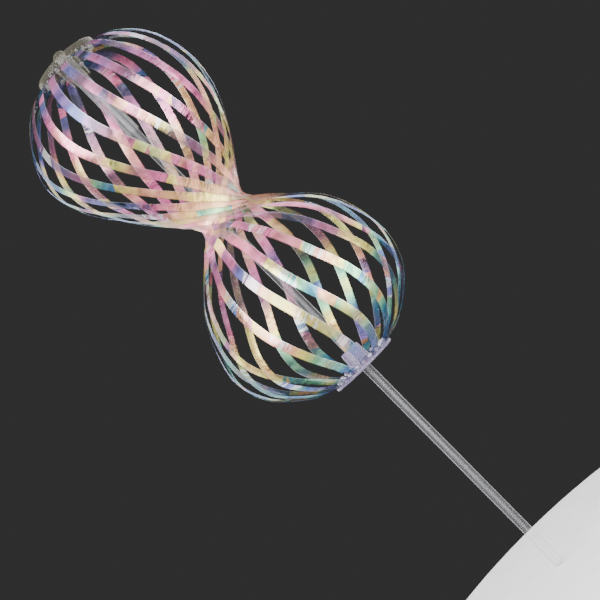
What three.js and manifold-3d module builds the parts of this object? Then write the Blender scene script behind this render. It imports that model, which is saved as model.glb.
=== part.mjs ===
// Ribbon bubble wand. A clear rod carries a domed hub fixed on its tip and a flat hub that slides and
// turns part-way down. Twenty narrow film ribbons join the two hubs. They bulge into two bubbles, with
// a twisted neck between them where each ribbon laps over the next like a roof tile.
// Millimetres. The origin is the centre of the rod's butt end, and +Z runs up the rod to its tip.
import * as THREE from "three";
import { mergeVertices } from "three/addons/utils/BufferGeometryUtils.js";
import Module from "manifold-3d";

const wasm = await Module();
wasm.setup();

// Rod and fits
const GAP = 0.3;
const ROD_RADIUS = 2.6;
const ROD_LENGTH = 362.9;
const ROD_EDGE = 1.4;

// Clear tube stock that both hubs are lined with
const TUBE_INNER = ROD_RADIUS + GAP;
const TUBE_OUTER = 3.7;
const TUBE_EDGE = 0.35;

// Top hub: a shallow dome with a boss below it and a closed nipple over the rod's tip
const TOP_RIM_RADIUS = 18.5;
const TOP_RIM_EDGE = 0.4;
const DOME_CENTRE_Z = 312.45;
const DOME_INNER = 47.1;
const DOME_OUTER = 50.5;
const TOP_BOSS_RADIUS = 6.8;
const TOP_BOSS_END_RADIUS = 5.7;
const TOP_BOSS_END_Z = 346.3;
const SEAT_Z = 358;
const NIPPLE_RADIUS = 3.4;
const NIPPLE_TOP_Z = 366;
const NIPPLE_ROUND = 2.8;
const SLEEVE_END_Z = 309.4;

// Lower hub: a flat flange with a boss above it
const FLANGE_RADIUS = 19;
const FLANGE_BOTTOM_Z = 141.9;
const FLANGE_TOP_Z = 143.5;
const LOWER_BOSS_RADIUS = 6.2;
const LOWER_BOSS_TOP_RADIUS = 5.5;
const LOWER_BOSS_TOP_Z = 153.7;
const HUB_BORE = TUBE_OUTER + GAP;
const HUB_CHAMFER = 0.5;

// Facets round the turned bodies, and steps along their curved outlines
const HUB_SIDES = 32;
const TUBE_SIDES = 18;
const DOME_STEPS = 4;
const EDGE_STEPS = 3;

// Ribbons and the headed pegs that hold their ends
const RIBBON_COUNT = 20;
const RIBBON_WIDTH = 5;
const RIBBON_THICKNESS = 0.16;
const TAB_WIDTH = 3.2;
const TAB_LENGTH = 6;
const PEG_RING = 15.5;
const PEG_STEM = 0.75;
const PEG_HEAD = 1.3;
const PEG_HEAD_HEIGHT = 1.4;
const PEG_ROOT = 0.5;
const PEG_SHOULDER = 2 * GAP + RIBBON_THICKNESS;
const PEG_SIDES = 6;

// Lap of the ribbons in the neck: how far each edge stands off, and how far from the neck that fades
const NECK_Z = 248.3;
const LAP_HEIGHT = 0.9;
const LAP_FULL = 8;
const LAP_NONE = 22;

// Middle line of one ribbon from the top hub to the lower hub. Each station is the height, the radius,
// the turn about the rod in degrees from the front (-Y) towards +X, and the sway of the soft cage to +X.
const CAGE_STATIONS = [
  [357.2, 13.4, -94, 0],
  [356.5, 15.5, -94, 0],
  [355.6, 18, -93.7, 0],
  [352.4, 29.2, -93, 0],
  [347.5, 35.5, -92, 0],
  [340.5, 41.8, -90, -0.4],
  [330.5, 47.3, -87, -1.3],
  [315.7, 50.4, -82.5, -1.7],
  [299.4, 47.3, -76.5, -0.7],
  [283, 38.7, -68.5, 1],
  [268, 28.4, -54, 1.9],
  [258.5, 20.2, -37, 2.6],
  [253, 15.8, -14, 3.1],
  [NECK_Z, 14, 9, 3.4],
  [243.8, 16, 32, 3.6],
  [239.5, 21, 50, 3.7],
  [231.5, 30.3, 61, 3.8],
  [218, 43.3, 68, 3.6],
  [201.4, 51.2, 73.5, 2.8],
  [181, 54.7, 82, 1.2],
  [165, 49.4, 88, 0.8],
  [153.5, 38.3, 91.3, 0.8],
  [147, 28.4, 92.5, 0.4],
  [144, 19.5, 93, 0],
  [FLANGE_TOP_Z + GAP + RIBBON_THICKNESS / 2, 15.5, 93, 0],
  [FLANGE_TOP_Z + GAP + RIBBON_THICKNESS / 2, 13.4, 93, 0],
];

// Degrees towards +X by which each ribbon strays from even spacing in the lower bubble, and the heights
// between which it does
const STRAYS = [0, 0, 0, 0, 0, 0, 0, 0, 0, 0, 0, 4, 1.5, -6, 1, 3, -1, 1.5, 2, -3];
const STRAY_TOP_Z = 239.5;
const STRAY_END_Z = 144;

const TURN_PER_STEP = 6.5;
const LENGTH_PER_STEP = 16;
const PATH_NUDGE = 0.01;

const clearPlastic = new THREE.MeshStandardMaterial({
  color: 0xd4d6d8,
  roughness: 0.12,
  metalness: 0,
  transparent: true,
  opacity: 0.55,
});
const hubPlastic = new THREE.MeshStandardMaterial({
  color: 0xc9c3c8,
  roughness: 0.25,
  metalness: 0,
  transparent: true,
  opacity: 0.7,
});
const film = new THREE.MeshStandardMaterial({
  color: 0xe6c4cf,
  roughness: 0.18,
  metalness: 0.3,
  side: THREE.DoubleSide,
});

// A turned body about +Z, from [radius, z] points that run anticlockwise round the section.
function turned(profile, sides) {
  const points = profile.map(([radius, z]) => new THREE.Vector2(radius, z));
  return new THREE.LatheGeometry(points, sides).rotateX(Math.PI / 2);
}

function solidOf(geometry) {
  const bare = geometry.clone();
  bare.deleteAttribute("normal");
  bare.deleteAttribute("uv");
  const merged = mergeVertices(bare, 1e-4);
  return new wasm.Manifold(
    new wasm.Mesh({
      numProp: 3,
      vertProperties: merged.attributes.position.array,
      triVerts: new Uint32Array(merged.index.array),
    }),
  );
}

function geometryOf(solid) {
  const mesh = solid.getMesh();
  const geometry = new THREE.BufferGeometry();
  geometry.setAttribute("position", new THREE.BufferAttribute(mesh.vertProperties, 3));
  geometry.setIndex(new THREE.BufferAttribute(mesh.triVerts, 1));
  geometry.computeVertexNormals();
  return geometry;
}

function named(name, geometry, material) {
  const mesh = new THREE.Mesh(geometry, material);
  mesh.name = name;
  return mesh;
}

function domeHeight(sphere, radius) {
  return DOME_CENTRE_Z + Math.sqrt(sphere ** 2 - radius ** 2);
}

// Points on one of the dome's two spheres, between two radii from the axis.
function domeArc(sphere, fromRadius, toRadius) {
  return Array.from({ length: DOME_STEPS + 1 }, (_, i) => {
    const radius = THREE.MathUtils.lerp(fromRadius, toRadius, i / DOME_STEPS);
    return [radius, domeHeight(sphere, radius)];
  });
}

// A quarter round on an outer edge, from one [radius, z] point to another about their inner corner.
function quarterRound(from, to) {
  const inner = [Math.min(from[0], to[0]), from[0] > to[0] ? from[1] : to[1]];
  return Array.from({ length: EDGE_STEPS + 1 }, (_, i) => {
    const angle = (i / EDGE_STEPS) * (Math.PI / 2);
    return [
      inner[0] + (from[0] - inner[0]) * Math.cos(angle) + (to[0] - inner[0]) * Math.sin(angle),
      inner[1] + (from[1] - inner[1]) * Math.cos(angle) + (to[1] - inner[1]) * Math.sin(angle),
    ];
  });
}

function rod() {
  const profile = [
    [0, 0],
    ...quarterRound([ROD_RADIUS - ROD_EDGE, 0], [ROD_RADIUS, ROD_EDGE]),
    ...quarterRound([ROD_RADIUS, ROD_LENGTH - ROD_EDGE], [ROD_RADIUS - ROD_EDGE, ROD_LENGTH]),
    [0, ROD_LENGTH],
  ];
  return named("rod", turned(profile, TUBE_SIDES), clearPlastic);
}

// A length of the tube stock, standing on its lower end at the given height.
function tube(name, bottomZ, topZ) {
  const length = topZ - bottomZ;
  const profile = [
    [TUBE_INNER, 0],
    [TUBE_OUTER - TUBE_EDGE, 0],
    [TUBE_OUTER, TUBE_EDGE],
    [TUBE_OUTER, length - TUBE_EDGE],
    [TUBE_OUTER - TUBE_EDGE, length],
    [TUBE_INNER, length],
    [TUBE_INNER, 0],
  ];
  const mesh = named(name, turned(profile, TUBE_SIDES), clearPlastic);
  mesh.position.z = bottomZ;
  return mesh;
}

// Where the ribbons' ends are pinned: the turn of each end about the rod, in radians from +X.
function pegAzimuth(endTurn, index) {
  return THREE.MathUtils.degToRad(endTurn - 90 + (index * 360) / RIBBON_COUNT);
}

function topPegFrame(index) {
  const azimuth = pegAzimuth(CAGE_STATIONS[0][2], index);
  const lean = Math.asin(PEG_RING / DOME_INNER);
  const height = DOME_CENTRE_Z + DOME_INNER * Math.cos(lean);
  return {
    foot: new THREE.Vector3(PEG_RING * Math.cos(azimuth), PEG_RING * Math.sin(azimuth), height),
    up: new THREE.Vector3(
      -Math.sin(lean) * Math.cos(azimuth),
      -Math.sin(lean) * Math.sin(azimuth),
      -Math.cos(lean),
    ),
  };
}

function lowerPegFrame(index) {
  const azimuth = pegAzimuth(CAGE_STATIONS.at(-1)[2], index);
  return {
    foot: new THREE.Vector3(PEG_RING * Math.cos(azimuth), PEG_RING * Math.sin(azimuth), FLANGE_TOP_Z),
    up: new THREE.Vector3(0, 0, 1),
  };
}

function standOn(geometry, { foot, up }) {
  const turn = new THREE.Quaternion().setFromUnitVectors(new THREE.Vector3(0, 0, 1), up);
  return geometry.applyQuaternion(turn).translate(foot.x, foot.y, foot.z);
}

// A moulded peg with its end formed into a round head, rooted in the hub's face.
function peg(frame) {
  const profile = [
    [0, -PEG_ROOT],
    [PEG_STEM, -PEG_ROOT],
    [PEG_STEM, PEG_SHOULDER],
    [PEG_HEAD, PEG_SHOULDER],
    [PEG_HEAD, PEG_SHOULDER + PEG_HEAD_HEIGHT / 2],
    [PEG_HEAD / 2, PEG_SHOULDER + PEG_HEAD_HEIGHT],
    [0, PEG_SHOULDER + PEG_HEAD_HEIGHT],
  ];
  return solidOf(standOn(turned(profile, PEG_SIDES), frame));
}

function withPegs(profile, frameOfPeg) {
  let hub = solidOf(turned(profile, HUB_SIDES));
  for (let i = 0; i < RIBBON_COUNT; i++) {
    hub = hub.add(peg(frameOfPeg(i)));
  }
  return geometryOf(hub);
}

function topHub() {
  const profile = [
    [0, ROD_LENGTH + GAP],
    [TUBE_INNER, ROD_LENGTH + GAP],
    [TUBE_INNER, SEAT_Z],
    [HUB_BORE, SEAT_Z],
    [HUB_BORE, TOP_BOSS_END_Z],
    [TOP_BOSS_END_RADIUS - HUB_CHAMFER, TOP_BOSS_END_Z],
    [TOP_BOSS_END_RADIUS, TOP_BOSS_END_Z + HUB_CHAMFER],
    ...domeArc(DOME_INNER, TOP_BOSS_RADIUS, TOP_RIM_RADIUS - TOP_RIM_EDGE),
    [TOP_RIM_RADIUS, domeHeight(DOME_INNER, TOP_RIM_RADIUS) + TOP_RIM_EDGE],
    [TOP_RIM_RADIUS, domeHeight(DOME_OUTER, TOP_RIM_RADIUS) - TOP_RIM_EDGE],
    ...domeArc(DOME_OUTER, TOP_RIM_RADIUS - TOP_RIM_EDGE, NIPPLE_RADIUS),
    ...quarterRound(
      [NIPPLE_RADIUS, NIPPLE_TOP_Z - NIPPLE_ROUND],
      [NIPPLE_RADIUS - NIPPLE_ROUND, NIPPLE_TOP_Z],
    ),
    [0, NIPPLE_TOP_Z],
  ];
  return named("top_hub", withPegs(profile, topPegFrame), hubPlastic);
}

function lowerHub() {
  const profile = [
    [HUB_BORE, FLANGE_BOTTOM_Z],
    [FLANGE_RADIUS - HUB_CHAMFER, FLANGE_BOTTOM_Z],
    [FLANGE_RADIUS, FLANGE_BOTTOM_Z + HUB_CHAMFER],
    [FLANGE_RADIUS, FLANGE_TOP_Z - HUB_CHAMFER],
    [FLANGE_RADIUS - HUB_CHAMFER, FLANGE_TOP_Z],
    [LOWER_BOSS_RADIUS + HUB_CHAMFER, FLANGE_TOP_Z],
    [LOWER_BOSS_RADIUS, FLANGE_TOP_Z + HUB_CHAMFER],
    [LOWER_BOSS_TOP_RADIUS, LOWER_BOSS_TOP_Z - HUB_CHAMFER],
    [LOWER_BOSS_TOP_RADIUS - HUB_CHAMFER, LOWER_BOSS_TOP_Z],
    [HUB_BORE, LOWER_BOSS_TOP_Z],
    [HUB_BORE, FLANGE_BOTTOM_Z],
  ];
  return named("lower_hub", withPegs(profile, lowerPegFrame), hubPlastic);
}

// The cage's outline as a smooth path: the distance along it to each station, and the slope there.
function pathThrough(stations) {
  const along = [0];
  for (let i = 1; i < stations.length; i++) {
    const rise = stations[i][0] - stations[i - 1][0];
    const spread = stations[i][1] - stations[i - 1][1];
    along.push(along[i - 1] + Math.hypot(rise, spread));
  }
  const last = stations.length - 1;
  const rate = (i, field) =>
    (stations[i + 1][field] - stations[i][field]) / (along[i + 1] - along[i]);
  const slopes = stations.map((station, i) =>
    station.map((_, field) => {
      if (i === 0) return rate(0, field);
      if (i === last) return rate(last - 1, field);
      const before = along[i] - along[i - 1];
      const after = along[i + 1] - along[i];
      return (before * rate(i, field) + after * rate(i - 1, field)) / (before + after);
    }),
  );
  return { along, slopes };
}

const path = pathThrough(CAGE_STATIONS);
const pathLength = path.along.at(-1);

// The path's [height, radius, turn, sway] at a distance along it, by cubic interpolation.
function stationAt(distance) {
  const found = path.along.findIndex((end) => end > distance) - 1;
  const i = found < 0 ? path.along.length - 2 : found;
  const span = path.along[i + 1] - path.along[i];
  const u = (distance - path.along[i]) / span;
  return CAGE_STATIONS[i].map(
    (value, field) =>
      (2 * u ** 3 - 3 * u ** 2 + 1) * value +
      (u ** 3 - 2 * u ** 2 + u) * span * path.slopes[i][field] +
      (3 * u ** 2 - 2 * u ** 3) * CAGE_STATIONS[i + 1][field] +
      (u ** 3 - u ** 2) * span * path.slopes[i + 1][field],
  );
}

function strayAt(z, index) {
  const share = THREE.MathUtils.clamp((STRAY_TOP_Z - z) / (STRAY_TOP_Z - STRAY_END_Z), 0, 1);
  return STRAYS[index] * Math.sin(Math.PI * share) ** 2;
}

// Distances at which a ribbon gets a cross-section: closer together where it turns quickly.
function sectionDistances() {
  const distances = [];
  for (let i = 0; i + 1 < CAGE_STATIONS.length; i++) {
    const span = path.along[i + 1] - path.along[i];
    const turn = Math.abs(CAGE_STATIONS[i + 1][2] - CAGE_STATIONS[i][2]);
    const steps = Math.ceil(Math.max(turn / TURN_PER_STEP, span / LENGTH_PER_STEP));
    for (let step = 0; step < steps; step++) {
      distances.push(path.along[i] + (span * step) / steps);
    }
  }
  return [...distances, pathLength];
}

// A point on the cage's surface, with its outward normal, the radius and how fast the ribbon turns there.
function cageSurface(distance, azimuth, index) {
  const at = Math.min(Math.max(distance, 0), pathLength);
  const [z, radius, , sway] = stationAt(at);
  const from = stationAt(Math.max(at - PATH_NUDGE, 0));
  const to = stationAt(Math.min(at + PATH_NUDGE, pathLength));
  const outwards = new THREE.Vector3(Math.cos(azimuth), Math.sin(azimuth), 0);
  const round = new THREE.Vector3(-Math.sin(azimuth), Math.cos(azimuth), 0);
  const down = new THREE.Vector3(to[3] - from[3], 0, to[0] - from[0]);
  down.addScaledVector(outwards, to[1] - from[1]);
  const turn = to[2] - from[2] + strayAt(to[0], index) - strayAt(from[0], index);
  const turnRate = THREE.MathUtils.degToRad(turn) / down.length();
  const point = new THREE.Vector3(sway, 0, z).addScaledVector(outwards, radius);
  const facing = new THREE.Vector3().crossVectors(down, round).normalize();
  return { point, facing, radius, turnRate };
}

// The four corners of a ribbon's cross-section at a distance along the path. One edge stands off the
// cage's surface and the other sinks below it in the neck, so that neighbours lap without touching.
function ribbonSection(distance, index) {
  const [z, , turn] = stationAt(distance);
  const azimuth = pegAzimuth(turn + strayAt(z, index), index);
  const { radius, turnRate } = cageSurface(distance, azimuth, index);
  const slant = Math.atan(radius * turnRate);
  const fade = THREE.MathUtils.smoothstep(Math.abs(z - NECK_Z), LAP_FULL, LAP_NONE);
  const lap = LAP_HEIGHT * (1 - fade);
  const fromEnd = Math.min(distance, pathLength - distance);
  const width = THREE.MathUtils.lerp(TAB_WIDTH, RIBBON_WIDTH, Math.min(fromEnd / TAB_LENGTH, 1));
  return [
    [-1, -1],
    [1, -1],
    [1, 1],
    [-1, 1],
  ].map(([side, face]) => {
    const aside = (side * width) / 2;
    const turnAside = (aside * Math.cos(slant)) / radius;
    const edge = cageSurface(distance - aside * Math.sin(slant), azimuth + turnAside, index);
    return edge.point.addScaledVector(edge.facing, -side * lap + (face * RIBBON_THICKNESS) / 2);
  });
}

// A strip through all its cross-sections, closed at both ends. Its two faces are split along the same
// diagonals, so that they stay a wall apart where the strip twists.
function strip(sections) {
  const indices = [];
  for (let i = 0; i + 1 < sections.length; i++) {
    for (let side = 0; side < 4; side++) {
      const a = 4 * i + side;
      const b = 4 * i + ((side + 1) % 4);
      if (side < 2) {
        indices.push(a, b, b + 4, a, b + 4, a + 4);
      } else {
        indices.push(a, b, a + 4, b, b + 4, a + 4);
      }
    }
  }
  const end = 4 * (sections.length - 1);
  indices.push(0, 2, 1, 0, 3, 2);
  indices.push(end, end + 1, end + 2, end, end + 2, end + 3);
  const geometry = new THREE.BufferGeometry().setFromPoints(sections.flat());
  geometry.setIndex(indices);
  return geometry;
}

function pegHole(frame) {
  const radius = PEG_STEM + GAP;
  const profile = [
    [0, -PEG_ROOT],
    [radius, -PEG_ROOT],
    [radius, PEG_SHOULDER + PEG_ROOT],
    [0, PEG_SHOULDER + PEG_ROOT],
  ];
  return solidOf(standOn(turned(profile, PEG_SIDES), frame));
}

function ribbon(index) {
  const sections = sectionDistances().map((distance) => ribbonSection(distance, index));
  const solid = solidOf(strip(sections))
    .subtract(pegHole(topPegFrame(index)))
    .subtract(pegHole(lowerPegFrame(index)));
  const number = String(index + 1).padStart(2, "0");
  return named(`ribbon_${number}`, geometryOf(solid), film);
}

// The tip end is fixed on the rod, and the slider is the lower hub with the bush it is lined with.
const tipEnd = new THREE.Group();
tipEnd.add(topHub(), tube("top_sleeve", SLEEVE_END_Z, SEAT_Z - GAP));

const slider = new THREE.Group();
slider.add(lowerHub(), tube("lower_bush", FLANGE_BOTTOM_Z + GAP, LOWER_BOSS_TOP_Z - GAP));

const cage = new THREE.Group();
for (let i = 0; i < RIBBON_COUNT; i++) {
  cage.add(ribbon(i));
}

const wand = new THREE.Group();
wand.add(rod(), tipEnd, slider, cage);

export default wand;
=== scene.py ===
"""Ribbon bubble wand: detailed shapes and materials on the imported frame. Metres, +Z up the rod."""

import math
import random

import bpy
from mathutils import Matrix, Vector


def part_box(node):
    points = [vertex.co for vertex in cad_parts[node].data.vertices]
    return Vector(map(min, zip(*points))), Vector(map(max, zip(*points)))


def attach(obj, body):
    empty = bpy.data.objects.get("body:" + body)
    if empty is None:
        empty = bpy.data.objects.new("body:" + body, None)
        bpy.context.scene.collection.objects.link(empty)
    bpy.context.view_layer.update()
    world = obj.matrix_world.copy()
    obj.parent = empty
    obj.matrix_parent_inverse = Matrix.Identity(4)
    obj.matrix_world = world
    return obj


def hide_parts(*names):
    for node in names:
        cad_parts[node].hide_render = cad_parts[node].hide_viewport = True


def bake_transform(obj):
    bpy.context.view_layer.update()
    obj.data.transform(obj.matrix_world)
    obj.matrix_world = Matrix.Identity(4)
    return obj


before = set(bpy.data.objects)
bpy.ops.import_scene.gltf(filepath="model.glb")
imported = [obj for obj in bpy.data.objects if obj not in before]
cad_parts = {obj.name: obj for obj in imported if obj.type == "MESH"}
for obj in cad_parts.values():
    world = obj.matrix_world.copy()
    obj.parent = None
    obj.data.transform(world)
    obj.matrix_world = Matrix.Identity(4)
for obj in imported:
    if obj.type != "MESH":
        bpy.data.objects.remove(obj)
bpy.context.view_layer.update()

MM = 0.001

# Body names and the record's material slots
WAND, BUSH, HUB = "wand", "bush", "hub"

# Fits and turned bodies
ROD_RADIUS = 2.6 * MM
ROD_EDGE = 1.4 * MM
TUBE_INNER = 2.9 * MM
TUBE_OUTER = 3.7 * MM
TUBE_EDGE = 0.35 * MM
HUB_BORE = 4.0 * MM
EDGE_ROUND = 0.5 * MM
TURNED_SIDES = 72
EDGE_STEPS = 6
DOME_STEPS = 14
SHARP_ANGLE = math.radians(38)

# Top hub
TOP_RIM_RADIUS = 18.5 * MM
TOP_RIM_EDGE = 0.6 * MM
DOME_CENTRE_Z = 312.45 * MM
DOME_INNER = 47.1 * MM
DOME_OUTER = 50.5 * MM
TOP_BOSS_RADIUS = 6.8 * MM
TOP_BOSS_END_RADIUS = 5.7 * MM
TOP_BOSS_END_Z = 346.3 * MM
SEAT_Z = 358 * MM
SOCKET_TOP_Z = 363.2 * MM
NIPPLE_RADIUS = 3.4 * MM
NIPPLE_TOP_Z = 366 * MM
NIPPLE_ROUND = 2.8 * MM

# Lower hub
FLANGE_RADIUS = 19 * MM
FLANGE_BOTTOM_Z = 141.9 * MM
FLANGE_TOP_Z = 143.5 * MM
LOWER_BOSS_RADIUS = 6.2 * MM
LOWER_BOSS_TOP_RADIUS = 5.5 * MM
LOWER_BOSS_TOP_Z = 153.7 * MM

# Pegs with formed heads
PEG_RING = 15.5 * MM
PEG_STEM = 0.75 * MM
PEG_HEAD = 1.3 * MM
PEG_HEAD_HEIGHT = 1.4 * MM
PEG_HEAD_STRAIGHT = 0.35 * PEG_HEAD_HEIGHT
PEG_SHOULDER = 0.76 * MM
PEG_ROOT = 0.3 * MM
PEG_SIDES = 20
# Painted highlight: the pegs' heads are mixed towards this white and made denser, for the small highlights
# on them
PEG_HIGHLIGHT_WHITE = (0.85, 0.84, 0.90, 1)
TOP_PEG_HIGHLIGHT = 0.2
LOWER_PEG_HIGHLIGHT = 0.28

# Ribbons
RIBBON_COUNT = 20
RIBBON_WIDTH = 5 * MM
TAB_WIDTH = 3.2 * MM
TAB_LENGTH = 6 * MM
NECK_Z = 248.3 * MM
LAP_HEIGHT = 0.9 * MM
LAP_FULL = 8 * MM
LAP_NONE = 22 * MM
SMOOTH_NECK = 5 * MM
PATH_NUDGE = 0.01 * MM
SECTION_STEP = 1 * MM
ACROSS = (-1, -0.5, 0, 0.5, 1)
BOW = 0.12 * MM
CREASE_HEIGHT = 0.16 * MM
CREASE_WIDTH = 1.3 * MM
CREASE_SKEW = 0.7
LEAST_CREASE = 0.4
CREASES_PER_RIBBON = 24
FIRST_SEED = 100
RIBBON_END_Z = FLANGE_TOP_Z + 1 * MM
FLANK_FROM = 0.72
FLANK_FULL = 0.97

# Middle line of a ribbon: height, radius, turn from the front (-Y) towards +X in degrees, sway to +X.
CAGE_MM = [
    (357.2, 13.4, -94, 0),
    (356.5, 15.5, -94, 0),
    (355.6, 18, -93.7, 0),
    (352.4, 29.2, -93, 0),
    (347.5, 35.5, -92, 0),
    (340.5, 41.8, -90, -0.4),
    (330.5, 47.3, -87, -1.3),
    (315.7, 50.4, -82.5, -1.7),
    (299.4, 47.3, -76.5, -0.7),
    (283, 38.7, -68.5, 1),
    (268, 28.4, -54, 1.9),
    (258.5, 20.2, -37, 2.6),
    (253, 15.8, -14, 3.1),
    (248.3, 14, 9, 3.4),
    (243.8, 16, 32, 3.6),
    (239.5, 21, 50, 3.7),
    (231.5, 30.3, 61, 3.8),
    (218, 43.3, 68, 3.6),
    (201.4, 51.2, 73.5, 2.8),
    (181, 54.7, 82, 1.2),
    (165, 49.4, 88, 0.8),
    (153.5, 38.3, 91.3, 0.8),
    (147, 28.4, 92.5, 0.4),
    (144, 19.5, 93, 0),
    (143.88, 15.5, 93, 0),
    (143.88, 13.4, 93, 0),
]
# Degrees towards +X by which each ribbon strays from even spacing in the lower bubble
STRAYS = [0, 0, 0, 0, 0, 0, 0, 0, 0, 0, 0, 4, 1.5, -6, 1, 3, -1, 1.5, 2, -3]
STRAY_TOP_Z = 239.5 * MM
STRAY_END_Z = 144 * MM
STATIONS = [(z * MM, r * MM, turn, sway * MM) for z, r, turn, sway in CAGE_MM]

# Colours of the film in the order in which they follow each other as its phase goes from 0 to 1
FILM_COLOURS = [
    (0.00, (0.16, 0.14, 0.36)),
    (0.11, (0.72, 0.20, 0.37)),
    (0.22, (1.00, 0.20, 0.40)),
    (0.33, (1.00, 0.38, 0.26)),
    (0.43, (1.00, 0.52, 0.20)),
    (0.52, (1.00, 0.80, 0.16)),
    (0.62, (0.22, 0.52, 0.24)),
    (0.72, (0.04, 0.20, 0.25)),
    (0.83, (0.05, 0.11, 0.26)),
    (1.00, (0.16, 0.14, 0.36)),
]

# The film's phase from its top end to its lower end
PHASE_ALONG = [
    (0.00, 0.00),
    (0.12, 0.06),
    (0.21, 0.24),
    (0.30, 0.38),
    (0.39, 0.27),
    (0.46, 0.38),
    (0.52, 0.42),
    (0.58, 0.27),
    (0.65, 0.22),
    (0.74, 0.40),
    (0.83, 0.55),
    (0.91, 0.74),
    (1.00, 0.97),
]

# The same on the cage's two flanks, where the film shows its cooler colours
PHASE_FLANK = [
    (0.00, 0.84),
    (0.14, 0.76),
    (0.28, 0.63),
    (0.42, 0.52),
    (0.50, 0.42),
    (0.60, 0.60),
    (0.74, 0.68),
    (0.88, 0.77),
    (1.00, 0.84),
]

# Film: painted light and painted shade on its cut edges, painted glints, its bands, and how far from the
# neck it is bunched, as shares of its length
FILM_GREY = (0.10, 0.095, 0.14, 1)
GLINT_WHITE = (0.95, 0.95, 0.90, 1)
RIM_LIGHT = (0.95, 0.90, 0.92, 1)
RIM_SHADE = (0.03, 0.03, 0.05, 1)
RIM_FROM = 0.86
BANDS_ALONG = 26.0
BAND_SLANT = 0.12
GLINT_BAND = 0.93
BUNCHED_FULL = 0.03
BUNCHED_NONE = 0.09


def quarter_round(start, end):
    """Points of a quarter round on an outer edge, about the corner that lies nearer the axis."""
    inner = (min(start[0], end[0]), start[1] if start[0] > end[0] else end[1])
    points = []
    for i in range(EDGE_STEPS + 1):
        angle = i / EDGE_STEPS * math.pi / 2
        points.append(tuple(
            inner[k] + (start[k] - inner[k]) * math.cos(angle) + (end[k] - inner[k]) * math.sin(angle)
            for k in (0, 1)
        ))
    return points


def dome_height(sphere, radius):
    return DOME_CENTRE_Z + math.sqrt(sphere**2 - radius**2)


def dome_arc(sphere, start, end):
    radii = [start + (end - start) * i / DOME_STEPS for i in range(DOME_STEPS + 1)]
    return [(radius, dome_height(sphere, radius)) for radius in radii]


def turned(profile, sides, closed_ring):
    """Vertices and faces of a turned body. A closed ring has a bore, and any other profile starts and ends
    on the axis."""
    inner = profile if closed_ring else profile[1:-1]
    vertices, faces = [], []
    for i in range(sides):
        angle = i / sides * math.tau
        vertices += [Vector((r * math.cos(angle), r * math.sin(angle), z)) for r, z in inner]
    rows = len(inner)
    for i in range(sides):
        a, b = i * rows, (i + 1) % sides * rows
        for j in range(rows if closed_ring else rows - 1):
            k = (j + 1) % rows
            faces.append((a + j, b + j, b + k, a + k))
    if not closed_ring:
        for point, j, first in ((profile[0], 0, True), (profile[-1], rows - 1, False)):
            pole = len(vertices)
            vertices.append(Vector((0, 0, point[1])))
            for i in range(sides):
                a, b = i * rows + j, (i + 1) % sides * rows + j
                faces.append((pole, b, a) if first else (pole, a, b))
    return vertices, faces


def new_piece(name, vertices, faces, material):
    mesh = bpy.data.meshes.new(name)
    mesh.from_pydata([tuple(v) for v in vertices], [], faces)
    mesh.validate()
    mesh.update()
    mesh.shade_smooth()
    mesh.set_sharp_from_angle(angle=SHARP_ANGLE)
    mesh.materials.append(material)
    piece = bpy.data.objects.new(name, mesh)
    bpy.context.scene.collection.objects.link(piece)
    return piece


def set_values(piece, label, values):
    """Stores one number for each point of a piece, for its material to read."""
    attribute = piece.data.attributes.new(label, "FLOAT", "POINT")
    attribute.data.foreach_set("value", [float(v) for v in values])


def peg_head_profile():
    """A stem rooted in the hub, under a domed head."""
    shoulder = PEG_SHOULDER
    dome_foot = shoulder + PEG_HEAD_STRAIGHT
    dome_rise = PEG_HEAD_HEIGHT - PEG_HEAD_STRAIGHT
    points = [(0, -PEG_ROOT), (PEG_STEM, -PEG_ROOT), (PEG_STEM, shoulder), (PEG_HEAD, shoulder)]
    for i in range(EDGE_STEPS):
        angle = i / EDGE_STEPS * math.pi / 2
        points.append((PEG_HEAD * math.cos(angle), dome_foot + dome_rise * math.sin(angle)))
    return points + [(0, shoulder + PEG_HEAD_HEIGHT)]


def with_pegs(vertices, faces, end_turn, foot_z, lean):
    """Adds the ring of pegs, which lean in and point down under the dome, or stand straight up."""
    peg_vertices, peg_faces = turned(peg_head_profile(), PEG_SIDES, False)
    for index in range(RIBBON_COUNT):
        azimuth = math.radians(end_turn - 90 + index * 360 / RIBBON_COUNT)
        round_axis = Matrix.Rotation(azimuth, 4, "Z")
        tip = Matrix.Rotation(lean, 4, "Y")
        place = round_axis @ Matrix.Translation((PEG_RING, 0, foot_z)) @ tip
        base = len(vertices)
        vertices += [place @ v for v in peg_vertices]
        faces += [tuple(base + k for k in face) for face in peg_faces]
    return vertices, faces


def paint_peg_highlights(hub, highlight_strength):
    """Gives the pegs' points, which come last in a hub's mesh, a painted highlight strength for its
    material to read.
    """
    count = len(hub.data.vertices)
    pegs = RIBBON_COUNT * len(turned(peg_head_profile(), PEG_SIDES, False)[0])
    set_values(hub, "peg_highlight", [0] * (count - pegs) + [highlight_strength] * pegs)
    return hub


# The ribbon's path


def path_through(stations):
    """Distance along the path and the rates of change at each station."""
    along = [0.0]
    for before, after in zip(stations, stations[1:]):
        along.append(along[-1] + math.hypot(after[0] - before[0], after[1] - before[1]))
    rates = [
        [(b[k] - a[k]) / (along[i + 1] - along[i]) for k in range(4)]
        for i, (a, b) in enumerate(zip(stations, stations[1:]))
    ]
    slopes = [rates[0]]
    for i in range(1, len(stations) - 1):
        before, after = along[i] - along[i - 1], along[i + 1] - along[i]
        slopes.append([
            (before * rates[i][k] + after * rates[i - 1][k]) / (before + after) for k in range(4)
        ])
    return along, slopes + [rates[-1]]


ALONG, SLOPES = path_through(STATIONS)
PATH_LENGTH = ALONG[-1]


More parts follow.
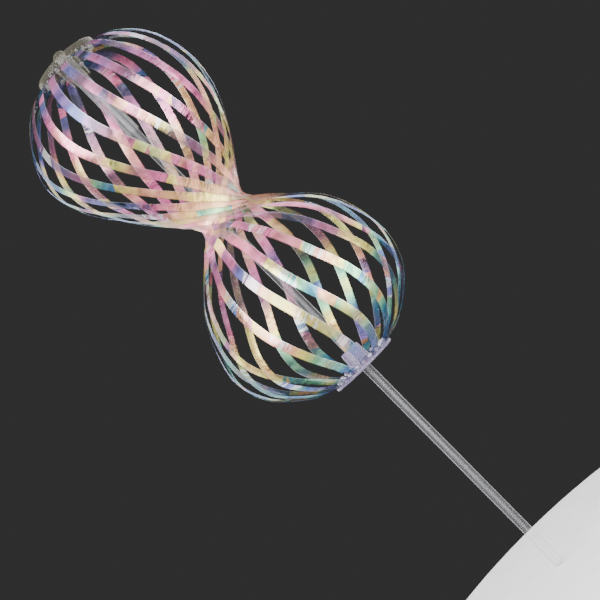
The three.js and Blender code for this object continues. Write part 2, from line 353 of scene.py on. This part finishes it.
def station_at(distance):
    """Height, radius, turn and sway at a distance along the path, by cubic interpolation."""
    i = next((k for k, end in enumerate(ALONG) if end > distance), len(ALONG) - 1) - 1
    span = ALONG[i + 1] - ALONG[i]
    u = (distance - ALONG[i]) / span
    return [
        (2 * u**3 - 3 * u**2 + 1) * STATIONS[i][k]
        + (u**3 - 2 * u**2 + u) * span * SLOPES[i][k]
        + (3 * u**2 - 2 * u**3) * STATIONS[i + 1][k]
        + (u**3 - u**2) * span * SLOPES[i + 1][k]
        for k in range(4)
    ]


def stray_at(z, index):
    """Degrees by which a ribbon strays from even spacing at a height."""
    share = min(max((STRAY_TOP_Z - z) / (STRAY_TOP_Z - STRAY_END_Z), 0), 1)
    return STRAYS[index] * math.sin(math.pi * share) ** 2


def cage_surface(distance, azimuth, index):
    """A point on the cage with its outward normal, the radius and how fast the ribbon turns there."""
    at = min(max(distance, 0), PATH_LENGTH)
    z, radius, _, sway = station_at(at)
    start = station_at(max(at - PATH_NUDGE, 0))
    end = station_at(min(at + PATH_NUDGE, PATH_LENGTH))
    outwards = Vector((math.cos(azimuth), math.sin(azimuth), 0))
    round_axis = Vector((-math.sin(azimuth), math.cos(azimuth), 0))
    down = Vector((end[3] - start[3], 0, end[0] - start[0])) + outwards * (end[1] - start[1])
    turn = end[2] - start[2] + stray_at(end[0], index) - stray_at(start[0], index)
    turn_rate = math.radians(turn) / down.length
    point = Vector((sway, 0, z)) + outwards * radius
    return point, down.cross(round_axis).normalized(), radius, turn_rate


def smoothstep(value, low, high):
    t = min(max((value - low) / (high - low), 0), 1)
    return t * t * (3 - 2 * t)


def ribbon_row(distance, index, creases):
    """The points across a ribbon at a distance along the path."""
    z, _, turn, _ = station_at(distance)
    azimuth = math.radians(turn + stray_at(z, index) - 90 + index * 360 / RIBBON_COUNT)
    _, _, radius, turn_rate = cage_surface(distance, azimuth, index)
    slant = math.atan(radius * turn_rate)
    lap = LAP_HEIGHT * (1 - smoothstep(abs(z - NECK_Z), LAP_FULL, LAP_NONE))
    from_end = min(distance, PATH_LENGTH - distance)
    width = TAB_WIDTH + (RIBBON_WIDTH - TAB_WIDTH) * min(from_end / TAB_LENGTH, 1)
    free = smoothstep(from_end, TAB_LENGTH, 2 * TAB_LENGTH)
    free *= smoothstep(abs(z - NECK_Z), SMOOTH_NECK, LAP_NONE)
    points = []
    for side in ACROSS:
        aside = side * width / 2
        point, facing, _, _ = cage_surface(
            distance - aside * math.sin(slant), azimuth + aside * math.cos(slant) / radius, index
        )
        ripple = sum(
            height * math.exp(-(((distance + skew * aside - place) / CREASE_WIDTH) ** 2))
            for place, height, skew in creases
        )
        lift = -side * lap + free * (BOW * (1 - side**2) + ripple)
        points.append(point + facing * lift)
    return points


def ribbon_half(name, index, start, end, material):
    """The part of a ribbon from one distance along its path to another, with its own creases."""
    rng = random.Random(FIRST_SEED + index)
    creases = [
        (
            rng.uniform(0, PATH_LENGTH),
            rng.choice((-1, 1)) * rng.uniform(LEAST_CREASE, 1) * CREASE_HEIGHT,
            rng.uniform(-CREASE_SKEW, CREASE_SKEW),
        )
        for _ in range(CREASES_PER_RIBBON)
    ]
    steps = math.ceil((end - start) / SECTION_STEP)
    distances = [start + (end - start) * i / steps for i in range(steps + 1)]
    vertices, along, across, flank = [], [], [], []
    for distance in distances:
        row = ribbon_row(distance, index, creases)
        vertices += row
        along += [distance / PATH_LENGTH] * len(ACROSS)
        across += ACROSS
        middle = row[len(ACROSS) // 2]
        sideways = abs(middle.x) / math.hypot(middle.x, middle.y)
        flank += [smoothstep(sideways, FLANK_FROM, FLANK_FULL)] * len(ACROSS)
    wide = len(ACROSS)
    faces = [
        (i * wide + j, i * wide + j + 1, (i + 1) * wide + j + 1, (i + 1) * wide + j)
        for i in range(steps)
        for j in range(wide - 1)
    ]
    piece = new_piece(name, vertices, faces, material)
    set_values(piece, "along", along)
    set_values(piece, "across", across)
    set_values(piece, "strip", [index] * len(along))
    set_values(piece, "flank", flank)
    return piece


# Materials


class Nodes:
    """A material's node tree, with short calls to add nodes and links to it."""

    def __init__(self, name):
        self.material = bpy.data.materials.new(name)
        self.material.use_nodes = True
        self.tree = self.material.node_tree
        self.shader = self.tree.nodes["Principled BSDF"]

    def add(self, kind, **settings):
        node = self.tree.nodes.new(kind)
        for key, value in settings.items():
            setattr(node, key, value)
        return node

    def link(self, source, target):
        self.tree.links.new(source, target)

    def plug(self, socket, value):
        if isinstance(value, (int, float, tuple)):
            socket.default_value = value
        else:
            self.link(value, socket)

    def attribute(self, label):
        return self.add("ShaderNodeAttribute", attribute_name=label).outputs["Fac"]

    def math(self, operation, a, b=0.0, clamp=False):
        node = self.add("ShaderNodeMath", operation=operation, use_clamp=clamp)
        self.plug(node.inputs[0], a)
        self.plug(node.inputs[1], b)
        return node.outputs[0]

    def vector(self, x, y, z=0.0):
        node = self.add("ShaderNodeCombineXYZ")
        for socket, value in zip(node.inputs, (x, y, z)):
            self.plug(socket, value)
        return node.outputs[0]

    def noise(self, vector, scale, detail=2.0):
        node = self.add("ShaderNodeTexNoise")
        self.link(vector, node.inputs["Vector"])
        node.inputs["Scale"].default_value = scale
        node.inputs["Detail"].default_value = detail
        return node.outputs["Fac"]

    def ramp(self, value, stops, interpolation="LINEAR"):
        node = self.add("ShaderNodeValToRGB")
        ramp = node.color_ramp
        ramp.interpolation = interpolation
        while len(ramp.elements) < len(stops):
            ramp.elements.new(0.5)
        for element, (place, colour) in zip(ramp.elements, stops):
            element.position = place
            element.color = (*colour, 1) if isinstance(colour, tuple) else (colour,) * 3 + (1,)
        self.link(value, node.inputs[0])
        return node.outputs["Color"]

    def mix(self, factor, a, b):
        node = self.add("ShaderNodeMix", data_type="RGBA")
        for label, value in (("Factor", factor), ("A", a), ("B", b)):
            self.plug(next(k for k in node.inputs if k.name == label and k.enabled), value)
        return next(k for k in node.outputs if k.enabled)

    def bump(self, height, strength, distance):
        node = self.add("ShaderNodeBump")
        node.inputs["Strength"].default_value = strength
        node.inputs["Distance"].default_value = distance
        self.link(height, node.inputs["Height"])
        self.link(node.outputs[0], self.shader.inputs["Normal"])

    def between(self, value, low, high):
        """Maps 0 to 1 onto low to high."""
        return self.math("ADD", self.math("MULTIPLY", value, high - low), low)


def film_material():
    n = Nodes("iridescent_film")
    along, across, strip = n.attribute("along"), n.attribute("across"), n.attribute("strip")
    seed = n.math("MULTIPLY", strip, 3.7)

    def stretches(period, layer):
        """Long soft stretches, different on each ribbon and in each layer."""
        return n.noise(n.vector(n.math("MULTIPLY", along, period), seed, layer), 1.0)

    def lines(period, slant, detail):
        """Lines across the film."""
        place = n.vector(n.math("MULTIPLY", along, period), n.math("MULTIPLY", across, slant), seed)
        return n.noise(place, 1.0, detail)

    def centred(value):
        return n.math("SUBTRACT", value, 0.5)

    # Bands across the film, and how much a kink makes the phase jump from one to the next
    band = n.add("ShaderNodeTexWhiteNoise", noise_dimensions="2D")
    slanted = n.math("MULTIPLY", across, BAND_SLANT)
    cell = n.math("FLOOR", n.math("ADD", n.math("MULTIPLY", along, BANDS_ALONG), slanted))
    n.link(n.vector(cell, seed), band.inputs["Vector"])
    kinked = n.math("GREATER_THAN", stretches(9.0, 4.0), 0.56)
    jump = n.math("MULTIPLY", centred(band.outputs["Value"]), kinked)

    # Film bunched in the neck mirrors less and scatters more
    neck = ALONG[next(i for i, station in enumerate(STATIONS) if station[0] == NECK_Z)] / PATH_LENGTH
    bunched = n.ramp(along, [
        (neck - BUNCHED_NONE, 0.0),
        (neck - BUNCHED_FULL, 1.0),
        (neck + BUNCHED_FULL, 1.0),
        (neck + BUNCHED_NONE, 0.0),
    ])

    # Phase of the film's colour, which wanders slowly along the ribbon
    wander = n.math("MULTIPLY", centred(stretches(8.0, 0.0)), n.between(bunched, 1.3, 0.9))
    flank = n.math("MULTIPLY", n.attribute("flank"), n.math("SUBTRACT", 1.0, bunched))
    base = n.mix(flank, n.ramp(along, PHASE_ALONG), n.ramp(along, PHASE_FLANK))
    phase = n.math("ADD", base, wander)
    phase = n.math("ADD", phase, n.math("MULTIPLY", jump, 0.7))
    colour = n.ramp(n.math("FRACT", n.math("ADD", phase, 1.0)), FILM_COLOURS)

    # Painted shade and highlight: creases run across the film, and they, broad stretches and the kinks'
    # jumps lighten and darken its colour
    fine, broad = lines(260.0, 0.6, 3.0), lines(55.0, 0.3, 2.0)
    creased = n.ramp(stretches(11.0, 6.0), [(0.48, 0.0), (0.58, 1.0)])
    shade = n.math("MULTIPLY", centred(fine), creased)
    shade = n.math("ADD", n.math("MULTIPLY", shade, 3.2), n.between(broad, 0.0, 2.3))
    # The kinks' jumps also paint steps of light and shade between bands
    shade = n.math("ADD", shade, n.math("MULTIPLY", jump, 1.3))
    shaded_colour = n.add("ShaderNodeVectorMath", operation="SCALE")
    n.link(colour, shaded_colour.inputs[0])
    n.link(shade, shaded_colour.inputs["Scale"])

    # Painted highlight and painted shade: a thin line of light is painted along one cut edge, and shade
    # along the other
    lit_edge = n.math("GREATER_THAN", across, RIM_FROM)
    shaded_edge = n.math("LESS_THAN", across, -RIM_FROM)

    # Stretches where the film shows little colour, and painted glints: small white painted highlights in
    # some bands
    clear = stretches(7.0, 9.0)
    grey = n.mix(n.ramp(clear, [(0.50, 0.0), (0.62, 0.75)]), shaded_colour.outputs[0], FILM_GREY)
    glint = n.math("GREATER_THAN", band.outputs["Value"], GLINT_BAND)
    glint = n.math("MULTIPLY", glint, n.ramp(lines(150.0, 0.12, 0.0), [(0.50, 0.0), (0.53, 1.0)]))
    # Painted highlight along one cut edge, painted shade along the other
    lit = n.mix(n.math("MULTIPLY", lit_edge, 0.3), grey, RIM_LIGHT)
    lit = n.mix(n.math("MULTIPLY", shaded_edge, 0.55), lit, RIM_SHADE)
    # Painted highlight: glints painted white into the colour
    lit = n.mix(n.math("MULTIPLY", glint, 0.75), lit, GLINT_WHITE)
    n.link(lit, n.shader.inputs["Base Color"])

    rough = n.math("ADD", n.between(creased, 0.32, 0.18), n.math("MULTIPLY", bunched, 0.08))
    n.link(rough, n.shader.inputs["Roughness"])
    n.link(n.between(bunched, 0.66, 0.25), n.shader.inputs["Metallic"])
    n.link(n.between(clear, 1.0, 0.38), n.shader.inputs["Alpha"])
    n.bump(n.math("MULTIPLY", fine, creased), 0.6, 0.15 * MM)
    n.shader.inputs["Specular Tint"].default_value = (0.50, 0.58, 0.90, 1)
    n.shader.inputs["Coat Weight"].default_value = 0.6
    n.shader.inputs["Coat IOR"].default_value = 1.4
    n.shader.inputs["Coat Tint"].default_value = (0.78, 0.86, 0.96, 1)
    n.shader.inputs["Coat Roughness"].default_value = 0.07
    n.shader.inputs["IOR"].default_value = 1.33
    n.shader.inputs["Thin Film Thickness"].default_value = 420
    n.shader.inputs["Thin Film IOR"].default_value = 1.6
    return n.material


def clear_material(name, tint, rough, density, drawn, streaks):
    """Clear plastic whose density changes between where it faces the eye and its outline, with faint
    clouding. A small value of drawn stretches its fine streaks along the rod. On the rod the density ramp
    also paints a light line where it faces the eye, a painted highlight."""
    n = Nodes(name)
    place = n.add("ShaderNodeTexCoord").outputs["Object"]
    cloud = n.noise(place, 140.0, 2.0)
    stretched = n.add("ShaderNodeVectorMath", operation="MULTIPLY")
    n.link(place, stretched.inputs[0])
    stretched.inputs[1].default_value = (1, 1, drawn)
    lines = n.noise(stretched.outputs[0], 750.0, 2.0)
    light = tuple(min(c * 1.12, 1) for c in tint)
    peg_highlight = n.attribute("peg_highlight")
    plain = n.ramp(cloud, [(0.35, tint), (0.7, light)])
    # Painted highlight: the pegs' heads are mixed towards white
    n.link(n.mix(peg_highlight, plain, PEG_HIGHLIGHT_WHITE), n.shader.inputs["Base Color"])
    n.link(n.between(cloud, rough * 0.7, rough * 1.3), n.shader.inputs["Roughness"])
    # On the rod this ramp paints a light line where it faces the eye, a painted highlight
    facing = n.ramp(n.add("ShaderNodeLayerWeight").outputs["Facing"], density)
    streak = n.ramp(lines, [(0.40, 1.0 - streaks), (0.62, 1.0)])
    streak = n.math("MULTIPLY", streak, n.between(cloud, 0.9, 1.1))
    # The pegs' painted highlight also makes their heads denser
    density_and_highlights = n.math("ADD", n.math("MULTIPLY", facing, streak), peg_highlight, clamp=True)
    n.link(density_and_highlights, n.shader.inputs["Alpha"])
    n.shader.inputs["IOR"].default_value = 1.49
    return n.material


def floor_material():
    n = Nodes("pale_floor")
    grain = n.noise(n.add("ShaderNodeTexCoord").outputs["Object"], 60.0, 4.0)
    pale = n.ramp(grain, [(0.3, (0.72, 0.72, 0.71)), (0.7, (0.78, 0.78, 0.77))])
    n.link(pale, n.shader.inputs["Base Color"])
    n.link(n.between(grain, 0.6, 0.75), n.shader.inputs["Roughness"])
    return n.material


# The rod is denser straight where it faces the eye, a painted light line down its middle, and denser
# towards its outline, as glass is
ROD_DENSITY_AND_LIGHT_LINE = [(0.0, 0.22), (0.03, 0.18), (0.08, 0.08), (0.42, 0.08), (0.75, 0.60)]
TOP_HUB_DENSITY = [(0.0, 0.12), (0.4, 0.18), (0.85, 0.50)]
LOWER_HUB_DENSITY = [(0.0, 0.34), (0.4, 0.44), (0.85, 0.85)]
ROD_PLASTIC = clear_material("rod_acrylic", (0.26, 0.26, 0.28), 0.16, ROD_DENSITY_AND_LIGHT_LINE, 0.02, 0.35)
TOP_HUB_PLASTIC = clear_material("top_hub", (0.14, 0.13, 0.10), 0.12, TOP_HUB_DENSITY, 1.0, 0.10)
LOWER_HUB_PLASTIC = clear_material("lower_hub", (0.22, 0.18, 0.30), 0.13, LOWER_HUB_DENSITY, 1.0, 0.10)
FILM = film_material()


def finish_piece(piece, body, node):
    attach(piece, body)
    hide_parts(node)


# Rod, tubes and hubs


def height_span(node):
    low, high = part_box(node)
    return low[2], high[2]


def make_rod():
    bottom, top = height_span("rod")
    profile = [
        (0, bottom),
        *quarter_round((ROD_RADIUS - ROD_EDGE, bottom), (ROD_RADIUS, bottom + ROD_EDGE)),
        *quarter_round((ROD_RADIUS, top - ROD_EDGE), (ROD_RADIUS - ROD_EDGE, top)),
        (0, top),
    ]
    shape = turned(profile, TURNED_SIDES, False)
    finish_piece(new_piece("rod_clear", *shape, ROD_PLASTIC), WAND, "rod")


def make_tube(name, node, body):
    bottom, top = height_span(node)
    profile = [
        (TUBE_INNER, bottom),
        *quarter_round((TUBE_OUTER - TUBE_EDGE, bottom), (TUBE_OUTER, bottom + TUBE_EDGE)),
        *quarter_round((TUBE_OUTER, top - TUBE_EDGE), (TUBE_OUTER - TUBE_EDGE, top)),
        (TUBE_INNER, top),
    ]
    finish_piece(new_piece(name, *turned(profile, TURNED_SIDES, True), ROD_PLASTIC), body, node)


def make_top_hub():
    rim_low = dome_height(DOME_INNER, TOP_RIM_RADIUS)
    rim_high = dome_height(DOME_OUTER, TOP_RIM_RADIUS)
    profile = [
        (0, SOCKET_TOP_Z),
        (TUBE_INNER, SOCKET_TOP_Z),
        (TUBE_INNER, SEAT_Z),
        (HUB_BORE, SEAT_Z),
        (HUB_BORE, TOP_BOSS_END_Z),
        *quarter_round(
            (TOP_BOSS_END_RADIUS - EDGE_ROUND, TOP_BOSS_END_Z),
            (TOP_BOSS_END_RADIUS, TOP_BOSS_END_Z + EDGE_ROUND),
        ),
        *dome_arc(DOME_INNER, TOP_BOSS_RADIUS, TOP_RIM_RADIUS - TOP_RIM_EDGE),
        (TOP_RIM_RADIUS, rim_low + TOP_RIM_EDGE),
        (TOP_RIM_RADIUS, rim_high - TOP_RIM_EDGE),
        *dome_arc(DOME_OUTER, TOP_RIM_RADIUS - TOP_RIM_EDGE, NIPPLE_RADIUS),
        *quarter_round(
            (NIPPLE_RADIUS, NIPPLE_TOP_Z - NIPPLE_ROUND), (NIPPLE_RADIUS - NIPPLE_ROUND, NIPPLE_TOP_Z)
        ),
        (0, NIPPLE_TOP_Z),
    ]
    lean = math.pi + math.asin(PEG_RING / DOME_INNER)
    shape = with_pegs(
        *turned(profile, TURNED_SIDES, False), STATIONS[0][2], dome_height(DOME_INNER, PEG_RING), lean
    )
    hub = paint_peg_highlights(new_piece("top_hub_moulding", *shape, TOP_HUB_PLASTIC), TOP_PEG_HIGHLIGHT)
    finish_piece(hub, WAND, "top_hub")


def make_lower_hub():
    profile = [
        (HUB_BORE, FLANGE_BOTTOM_Z),
        *quarter_round(
            (FLANGE_RADIUS - EDGE_ROUND, FLANGE_BOTTOM_Z), (FLANGE_RADIUS, FLANGE_BOTTOM_Z + EDGE_ROUND)
        ),
        *quarter_round(
            (FLANGE_RADIUS, FLANGE_TOP_Z - EDGE_ROUND), (FLANGE_RADIUS - EDGE_ROUND, FLANGE_TOP_Z)
        ),
        (LOWER_BOSS_RADIUS + EDGE_ROUND, FLANGE_TOP_Z),
        (LOWER_BOSS_RADIUS, FLANGE_TOP_Z + EDGE_ROUND),
        *quarter_round(
            (LOWER_BOSS_TOP_RADIUS, LOWER_BOSS_TOP_Z - EDGE_ROUND),
            (LOWER_BOSS_TOP_RADIUS - EDGE_ROUND, LOWER_BOSS_TOP_Z),
        ),
        (HUB_BORE, LOWER_BOSS_TOP_Z),
    ]
    shape = with_pegs(*turned(profile, TURNED_SIDES, True), STATIONS[-1][2], FLANGE_TOP_Z, 0)
    hub = paint_peg_highlights(new_piece("lower_hub_moulding", *shape, LOWER_HUB_PLASTIC), LOWER_PEG_HIGHLIGHT)
    finish_piece(hub, HUB, "lower_hub")


def make_ribbons():
    """Each ribbon is two pieces that meet in the neck. A piece can bend across only one joint."""
    neck = next(a for a, station in zip(ALONG, STATIONS) if station[0] == NECK_Z)
    neck_point = (0, 0, NECK_Z)
    for index in range(RIBBON_COUNT):
        number = f"{index + 1:02d}"
        halves = (
            ("upper", 0, neck, WAND, BUSH, (0, 0, STATIONS[0][0]), neck_point),
            ("lower", neck, PATH_LENGTH, BUSH, HUB, neck_point, (0, 0, RIBBON_END_Z)),
        )
        for part, start, end, above, below, first, last in halves:
            piece = ribbon_half(f"ribbon_{number}_{part}", index, start, end, FILM)
            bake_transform(piece)
            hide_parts(f"ribbon_{number}")


make_rod()
make_tube("top_sleeve_tube", "top_sleeve", WAND)
make_tube("lower_bush_tube", "lower_bush", BUSH)
make_top_hub()
make_lower_hub()
make_ribbons()


# Camera, light and floor

CAMERA_PLACE = (0, -0.765, 0.1889)
CAMERA_ROLL = math.radians(44.71)
CAMERA_LENS = 90
FLOOR_RADIUS = 0.11
FLOOR_DEPTH = 0.003
FLOOR_SIDES = 96


def make_camera():
    data = bpy.data.cameras.new("camera")
    data.lens = CAMERA_LENS
    camera = bpy.data.objects.new("camera", data)
    bpy.context.scene.collection.objects.link(camera)
    level = Matrix.Rotation(math.pi / 2, 4, "X")
    roll = Matrix.Rotation(CAMERA_ROLL, 4, "Y")
    camera.matrix_world = Matrix.Translation(CAMERA_PLACE) @ roll @ level
    bpy.context.scene.camera = camera


def make_softbox(name, place, target, size, power):
    data = bpy.data.lights.new(name, "AREA")
    data.shape = "DISK"
    data.size = size
    data.energy = power
    light = bpy.data.objects.new(name, data)
    bpy.context.scene.collection.objects.link(light)
    light.location = place
    light.rotation_mode = "QUATERNION"
    light.rotation_quaternion = (Vector(target) - Vector(place)).to_track_quat("-Z", "Y")


def make_floor():
    """A small pale disc just under the rod's butt end."""
    profile = [
        (0, -FLOOR_DEPTH),
        (FLOOR_RADIUS - EDGE_ROUND, -FLOOR_DEPTH),
        *quarter_round((FLOOR_RADIUS, -2 * EDGE_ROUND), (FLOOR_RADIUS - EDGE_ROUND, -EDGE_ROUND)),
        (0, -EDGE_ROUND),
    ]
    new_piece("floor", *turned(profile, FLOOR_SIDES, False), floor_material())


def make_world():
    world = bpy.data.worlds.new("studio")
    world.use_nodes = True
    background = world.node_tree.nodes["Background"]
    background.inputs["Color"].default_value = (0.034, 0.034, 0.034, 1)
    bpy.context.scene.world = world


MIDDLE = (0, 0, 0.22)
make_camera()
make_world()
make_floor()
make_softbox("key", (-0.8, -1.1, 0.8), MIDDLE, 2.0, 128)
make_softbox("fill", (1.0, -1.0, 0.1), MIDDLE, 2.0, 98)
make_softbox("back_left", (-1.0, 0.9, 0.2), MIDDLE, 1.6, 16)
make_softbox("back_right", (0.9, 0.9, 0.7), MIDDLE, 1.6, 16)
